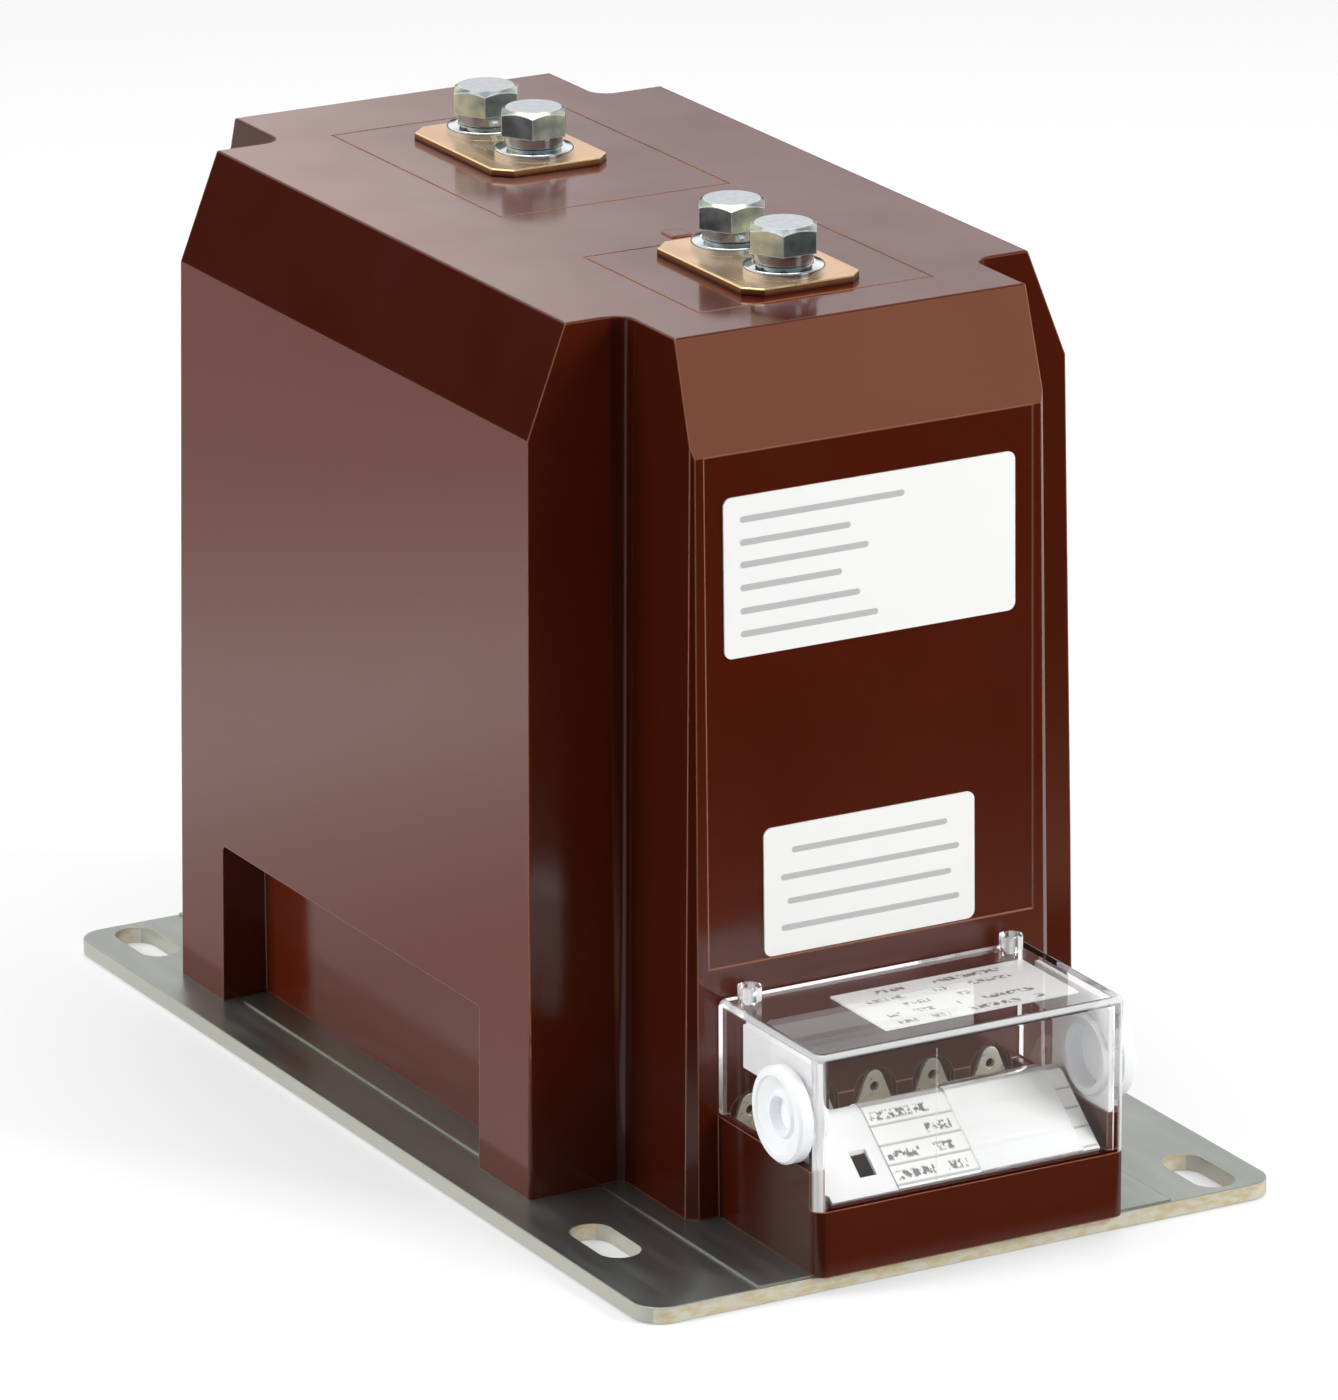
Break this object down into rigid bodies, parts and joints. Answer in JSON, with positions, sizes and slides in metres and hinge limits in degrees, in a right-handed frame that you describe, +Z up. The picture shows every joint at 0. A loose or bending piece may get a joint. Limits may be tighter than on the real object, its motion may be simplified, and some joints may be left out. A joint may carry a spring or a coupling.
{
  "type": "instrument transformer",
  "caption": "Cast resin block instrument transformer for medium voltage, with two bolted primary bars, a clear terminal cover and a slotted steel base plate.",
  "frame": {"origin": "middle of the overall footprint, on the underside of the base plate", "axes": "+Z up, -Y towards the secondary terminal box, +X to the right of someone facing that box"},
  "size_m": [0.21, 0.3704, 0.283],
  "materials": {
    "resin": "glossy cast epoxy",
    "plate_steel": "yellow passivated zinc",
    "bar_brass": "brushed",
    "bolt_zinc": "bright zinc plate",
    "insert_brass": "plain",
    "clear_plastic": "clear polycarbonate",
    "white_plastic": "satin",
    "grommet_plastic": "soft translucent",
    "terminal_zinc": "bright plate",
    "card": "satin card",
    "label": "satin"
  },
  "bodies": {
    "root": {"resin_body": "resin", "base_plate": "plate_steel", "base_screws": "bolt_zinc", "base_inserts": "insert_brass", "front_primary_bar": "bar_brass", "rear_primary_bar": "bar_brass", "front_bolts": "bolt_zinc", "rear_bolts": "bolt_zinc", "front_plain_washers": "bolt_zinc", "rear_plain_washers": "bolt_zinc", "front_lock_washers": "bolt_zinc", "rear_lock_washers": "bolt_zinc", "terminal_cover": "clear_plastic", "left_entry_plate": "white_plastic", "right_entry_plate": "white_plastic", "left_grommet": "grommet_plastic", "right_grommet": "grommet_plastic", "secondary_terminal_tabs": "terminal_zinc", "secondary_terminal_washers": "terminal_zinc", "secondary_terminal_screws": "terminal_zinc", "secondary_terminal_inserts": "insert_brass", "card_lectern": "white_plastic", "marking_strip": "card", "strip_window": "clear_plastic", "marking_card": "card", "rating_plate": "label", "small_plate": "label"}
  },
  "joints": []
}
